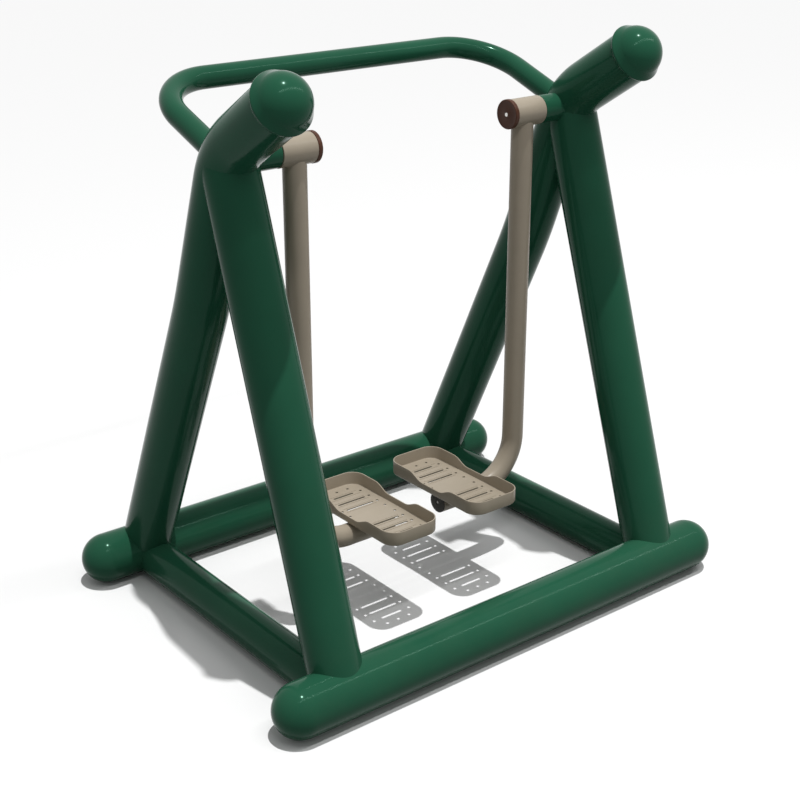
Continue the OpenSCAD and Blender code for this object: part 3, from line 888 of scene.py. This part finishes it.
# %% Arm tubes
ARM_X = 367 * MM
ARM_R = 30 * MM
ARM_TUCK = 20 * MM
ARM_BEND_R = 137 * MM
ARM_FOOT_Z = 224 * MM
ARM_END_X = 86 * MM
END_DISC_W = 3 * MM


def make_arm():
    bend_z = ARM_FOOT_Z + ARM_BEND_R
    top_z = PIVOT_Z - ARM_TUCK
    arm = start_disc("right_arm_tube_shape", ARM_R, (ARM_X, PIVOT_Y, top_z), sides=THIN_ROUND)
    extrude((0, 0, bend_z - top_z))
    spin((ARM_X - ARM_BEND_R, PIVOT_Y, bend_z), (0, 1, 0), 90, BEND_STEPS)
    extrude((ARM_END_X + END_DISC_W - ARM_X + ARM_BEND_R, 0, 0))
    return close_mesh(arm)


right_arm = make_arm()
left_arm = turned_copy(right_arm, "left_arm_tube_shape", PIVOT_LINE)
finish_pair(right_arm, left_arm, "tan_enamel", "arm_tube", moving=True)

# %% [markdown]
# A dark plastic disc closes the arm's open end. Its dark colour is partly painted shade, for the
# shadow that the footplate throws on the arm's end. A small round-headed screw in its middle holds
# it, and shows as a dim dot. The dot could be painted on, but a real head in a shallow recess also
# draws the thin dark ring around it. Both are turned like the caps above.

# %% End discs and screws
SCREW_R = 4 * MM
SCREW_HEAD = 1.2 * MM
SCREW_SIDES = 32
RECESS_R, RECESS_FLOOR_R = SCREW_R + 3 * MM, SCREW_R + 2 * MM
DISC_EDGE = 0.8 * MM


def end_disc_profile():
    side = arc((ARM_R - DISC_EDGE, END_DISC_W - DISC_EDGE), DISC_EDGE, 0, 90, 4)
    floor_z = END_DISC_W - SCREW_HEAD
    return [(ARM_R, 0)] + side + [(RECESS_R, END_DISC_W), (RECESS_FLOOR_R, floor_z), (0, floor_z)]


right_disc = turned("right_arm_end_cap_shape", end_disc_profile(),
                    (ARM_END_X + END_DISC_W, PIVOT_Y, ARM_FOOT_Z), AGAINST_X, sides=THIN_ROUND)
left_disc = turned_copy(right_disc, "left_arm_end_cap_shape", PIVOT_LINE)
right_screw = turned("right_end_screw", low_dome(SCREW_R, SCREW_HEAD, 0, 6),
                     (ARM_END_X + SCREW_HEAD, PIVOT_Y, ARM_FOOT_Z), AGAINST_X, sides=SCREW_SIDES)
left_screw = turned_copy(right_screw, "left_end_screw", PIVOT_LINE)
finish_pair(right_disc, left_disc, "dark_plastic", "arm_end_cap", moving=True)
finish_piece(right_screw, "right_arm", "dark_steel", angle=50)
finish_piece(left_screw, "left_arm", "dark_steel", angle=50)

# %% [markdown]
# The footplate is a pressed steel tray. Its walls stand high at the toe and heel, where they hold
# the shoe, and dip along the sides. It starts as a flat sheet: the corners are rounded, and the
# long edges are divided so that the wall drawn up from them can follow the dip. A box hollowed by
# a Boolean would be quicker but could not follow that curve.

# %% Footplate sheet
PLATE_W = 170 * MM
PLATE_LEN = 385 * MM
PLATE_CORNER_R = 42 * MM
CORNER_STEPS, SIDE_CUTS = 14, 71
NEAR = 0.1 * MM


def select_edges(piece, test):
    bpy.ops.object.mode_set(mode="OBJECT")
    points = piece.data.vertices
    for edge in piece.data.edges:
        edge.select = test(points[edge.vertices[0]].co, points[edge.vertices[1]].co)
    bpy.ops.object.mode_set(mode="EDIT")


def make_sheet():
    bpy.ops.object.select_all(action="DESELECT")
    bpy.ops.mesh.primitive_plane_add(size=1, location=(0, 0, 0))
    bpy.context.object.scale = (PLATE_W, PLATE_LEN, 1)
    sheet = take_primitive("right_footplate_shape")
    bpy.ops.object.mode_set(mode="EDIT")
    bpy.ops.mesh.select_mode(type="VERT")
    bpy.ops.mesh.select_all(action="SELECT")
    bpy.ops.mesh.bevel(offset=PLATE_CORNER_R, offset_type="OFFSET", segments=CORNER_STEPS,
                       affect="VERTICES")
    bpy.ops.mesh.select_all(action="DESELECT")
    bpy.ops.mesh.select_mode(type="EDGE")
    select_edges(sheet, lambda a, b: abs(a.x - b.x) < NEAR and abs(a.y - b.y) > PLATE_LEN / 2)
    bpy.ops.mesh.subdivide(number_cuts=SIDE_CUTS)
    return sheet


footplate = make_sheet()
print("outline points:", len(footplate.data.vertices))

# %% [markdown]
# The wall is drawn up in one go. The fold at its foot is a bevel, since pressed steel never turns
# a sharp corner. Then each row of the top edge is lowered to the height of the dip at its place,
# which eases from the low middle to the high ends by half a cosine wave.

# %% Footplate walls
PLATE_H = 40 * MM
PLATE_DIP_H = 21 * MM
FOLD_R = 5 * MM
FOLD_STEPS = 5
CROSS_EDGE = 100 * MM
DIP_FLAT, DIP_END = 0.09 * PLATE_LEN, 0.25 * PLATE_LEN


def wall_height(y):
    place = min(max((abs(y) - DIP_FLAT) / (DIP_END - DIP_FLAT), 0), 1)
    return PLATE_DIP_H + (PLATE_H - PLATE_DIP_H) * (1 - math.cos(math.pi * place)) / 2


def raise_walls(sheet):
    bpy.ops.mesh.select_all(action="SELECT")
    bpy.ops.mesh.select_mode(type="EDGE")
    bpy.ops.mesh.region_to_loop()
    bpy.ops.mesh.extrude_edges_move(TRANSFORM_OT_translate={"value": (0, 0, PLATE_H)})
    bpy.ops.mesh.select_all(action="DESELECT")
    # the fold takes the outline's short edges, not those that cross the floor
    select_edges(sheet, lambda a, b: max(a.z, b.z) < NEAR and (a - b).length < CROSS_EDGE)
    bpy.ops.mesh.bevel(offset=FOLD_R, offset_type="OFFSET", segments=FOLD_STEPS, affect="EDGES")


def lower_dip(sheet):
    bpy.ops.mesh.select_mode(type="VERT")
    bpy.ops.object.mode_set(mode="OBJECT")
    points = sheet.data.vertices
    rows = {}
    for point in points:
        if point.co.z > PLATE_H - NEAR and abs(point.co.y) < DIP_END:
            rows.setdefault(round(abs(point.co.y), 5), []).append(point.index)
    for place, row in rows.items():
        bpy.ops.object.mode_set(mode="EDIT")
        bpy.ops.mesh.select_all(action="DESELECT")
        bpy.ops.object.mode_set(mode="OBJECT")
        for index in row:
            points[index].select = True
        bpy.ops.object.mode_set(mode="EDIT")
        bpy.ops.transform.translate(value=(0, 0, wall_height(place) - PLATE_H))
        bpy.ops.object.mode_set(mode="OBJECT")
    return len(rows)


raise_walls(footplate)
print("rows lowered:", lower_dip(footplate))
bpy.ops.object.mode_set(mode="EDIT")
close_mesh(footplate)

# %% [markdown]
# Solidify gives the sheet its thickness, inward, so the outside keeps its size. A narrow bevel
# rounds the cut edge at the rim, where the paint catches the light.

# %% Footplate thickness and rim
PLATE_T = 3 * MM
RIM_EDGE = 0.9 * MM
INWARD = -1


def thicken(sheet):
    wall = sheet.modifiers.new("wall", "SOLIDIFY")
    wall.thickness = PLATE_T
    wall.offset = INWARD
    wall.use_even_offset = True
    rim = sheet.modifiers.new("rim", "BEVEL")
    rim.width = RIM_EDGE
    rim.segments = 3
    rim.limit_method = "ANGLE"
    rim.angle_limit = math.radians(60)
    apply_modifiers(sheet)


thicken(footplate)
print("thick sheet:", [round(side / MM, 1) for side in footplate.dimensions])

# %% [markdown]
# Slots and holes let the rain out, and low tread ribs beside the slots keep the shoe from
# slipping. Each slot is a disc whose one half is moved along and which is then extruded. A
# picture of holes in the material would look the same from above but would cast no spots of
# light, so real cutters are used, joined so that one Boolean cuts the whole pattern.

# %% Slots, holes and ribs
SLOT_W = 7 * MM
SLOT_LEN = 91 * MM
END_SLOT_LEN = 67 * MM
HOLE_D = 8 * MM
HOLE_X = 59.5 * MM
END_HOLE_X = 37 * MM
RIB_W, RIB_H = 2.4 * MM, 0.8 * MM
RIB_LEN = 0.6 * PLATE_W
CUT_LOW, CUT_HIGH = -2 * MM, PLATE_T + 3 * MM
SLOT_SIDES = 24
SLOT_SHARES = (0.148, 0.248)
END_SLOT_SHARE = 0.349
HOLE_SHARES = (0.0566, 0.148, 0.249, 0.3505)
END_HOLE_SHARE = 0.4286
RIB_SHARES = (0.123, 0.173, 0.223, 0.273, 0.324, 0.374)


def make_stadium(name, length, width, x, y, low, high):
    middle = x - (length - width) / 2
    piece = start_disc(name, width / 2, (middle, y, low), sides=SLOT_SIDES)
    bpy.ops.mesh.select_all(action="DESELECT")
    bpy.ops.object.mode_set(mode="OBJECT")
    for point in piece.data.vertices:
        point.select = point.co.x > middle + WELD
    bpy.ops.object.mode_set(mode="EDIT")
    bpy.ops.mesh.select_mode(type="VERT")
    if length > width:
        bpy.ops.transform.translate(value=(length - width, 0, 0))
    bpy.ops.mesh.select_all(action="SELECT")
    extrude((0, 0, high - low))
    return close_mesh(piece)


def join_pieces(pieces, name):
    select_only(pieces[0])
    for piece in pieces:
        piece.select_set(True)
    bpy.ops.object.join()
    pieces[0].name = name
    return pieces[0]


def drain_cutter():
    cuts = []
    for way in (-1, 1):
        cuts += [(SLOT_LEN, SLOT_W, 0, way * share) for share in SLOT_SHARES]
        cuts.append((END_SLOT_LEN, SLOT_W, 0, way * END_SLOT_SHARE))
        cuts += [(HOLE_D, HOLE_D, x, way * END_HOLE_SHARE) for x in (-END_HOLE_X, 0, END_HOLE_X)]
        cuts += [(HOLE_D, HOLE_D, x, way * share) for share in HOLE_SHARES
                 for x in (-HOLE_X, HOLE_X)]
    return join_pieces([make_stadium("cut", length, width, x, share * PLATE_LEN, CUT_LOW, CUT_HIGH)
                        for length, width, x, share in cuts], "drain_cutter")


def tread_ribs():
    return join_pieces([make_stadium("rib", RIB_LEN, RIB_W, 0, way * share * PLATE_LEN,
                                     PLATE_T - RIB_H, PLATE_T + RIB_H)
                        for share in RIB_SHARES for way in (-1, 1)], "tread_ribs")


combine(footplate, tread_ribs(), "UNION")
combine(footplate, drain_cutter(), "DIFFERENCE")
print("footplate faces:", len(footplate.data.polygons))

# %% [markdown]
# The finished tray goes to its place on the right arm's foot, and a copy goes to the left. The
# pattern is the same at the toe and the heel, so the copy is only moved and not mirrored.

# %% Footplates in place
PLATE_X = 143 * MM
PLATE_Z = 258 * MM

select_only(footplate)
bpy.ops.transform.translate(value=(PLATE_X, PIVOT_Y, PLATE_Z))
bpy.ops.object.transform_apply(location=True, rotation=True, scale=True)
left_plate = copy_piece(footplate, "left_footplate_shape", (-2 * PLATE_X, 0, 0))
finish_pair(footplate, left_plate, "tan_enamel", "footplate", moving=True, angle=30)

# %% [markdown]
# The object stands on a plain pale floor in front of an open pale background. A curved backdrop
# could be both, but its bend would show as a shade behind the object. The camera and the
# reflections see both as pale. To the soft light that bounces about, the floor is darker, so that
# the undersides of the tubes keep their shade. The floor still takes the object's shadow.

# %% Floor
FLOOR_SIZE = 60
FLOOR_SEEN = (0.86, 0.86, 0.86, 1)
FLOOR_BOUNCE = (0.22, 0.22, 0.22, 1)


def seen_directly(tree):
    path = tree.nodes.new("ShaderNodeLightPath")
    seen = add_math(tree, "MAXIMUM", path.outputs["Is Camera Ray"], path.outputs["Is Glossy Ray"])
    return add_math(tree, "MAXIMUM", seen, path.outputs["Is Transmission Ray"])


def add_floor():
    bpy.ops.object.select_all(action="DESELECT")
    bpy.ops.mesh.primitive_plane_add(size=FLOOR_SIZE, location=(0, 0, 0))
    floor = bpy.context.object
    floor.name = "floor"
    material, tree, shader = new_material("floor_paint")
    pale = add_mix(tree, seen_directly(tree), FLOOR_BOUNCE, FLOOR_SEEN)
    join(tree, pale, shader.inputs["Base Color"])
    shader.inputs["Roughness"].default_value = 1.0
    shader.inputs["Specular IOR Level"].default_value = 0.0
    floor.data.materials.append(material)


add_floor()
print("floor side:", FLOOR_SIZE, "m")

# %% [markdown]
# Most of the light comes from a small far lamp almost straight overhead, a little to the front
# and the right. The crisp shadow that the handrail throws along the rear base tube, and those of
# the footplates on the floor, gave its direction. A long thin strip draws the fine bright line
# along the tubes, and the pale background fills the shade softly.

# %% Light
KEY_DIRECTION = (0.065, -0.118, 1.0)
KEY_STRENGTH = 2.5
KEY_SPREAD = 1
SKY_LIGHT = 0.3
SKY_SEEN = 0.93
STRIP_PLACE = (1.3, -2.0, 4.2)
STRIP_END = (4.8, -2.0, 4.2)
STRIP_TARGET = (0, 0, 0.7)
STRIP_SIZE = (7.0, 0.15)
STRIP_POWER = 72


def add_key():
    data = bpy.data.lights.new("key", "SUN")
    data.energy = KEY_STRENGTH
    data.angle = math.radians(KEY_SPREAD)
    lamp = bpy.data.objects.new("key", data)
    lamp.rotation_euler = Vector(KEY_DIRECTION).to_track_quat("Z", "Y").to_euler()
    bpy.context.scene.collection.objects.link(lamp)


def add_strip():
    data = bpy.data.lights.new("strip", "AREA")
    data.shape = "RECTANGLE"
    data.size, data.size_y = STRIP_SIZE
    data.energy = STRIP_POWER
    place = Vector(STRIP_PLACE)
    length_way = (Vector(STRIP_END) - place).normalized()
    back = (place - Vector(STRIP_TARGET)).normalized()
    across = back.cross(length_way).normalized()
    turn = Matrix((length_way, across, length_way.cross(across))).transposed()
    lamp = bpy.data.objects.new("strip", data)
    lamp.location = place
    lamp.rotation_euler = turn.to_euler()
    bpy.context.scene.collection.objects.link(lamp)


def set_world():
    world = bpy.data.worlds.new("studio")
    world.use_nodes = True
    tree = world.node_tree
    back = tree.nodes["Background"]
    back.inputs["Color"].default_value = (1, 1, 1, 1)
    level = add_range(tree, seen_directly(tree), 0.0, 1.0, SKY_LIGHT, SKY_SEEN)
    tree.links.new(level, back.inputs["Strength"])
    bpy.context.scene.world = world


add_key()
add_strip()
set_world()
bpy.context.scene.view_settings.view_transform = "Standard"
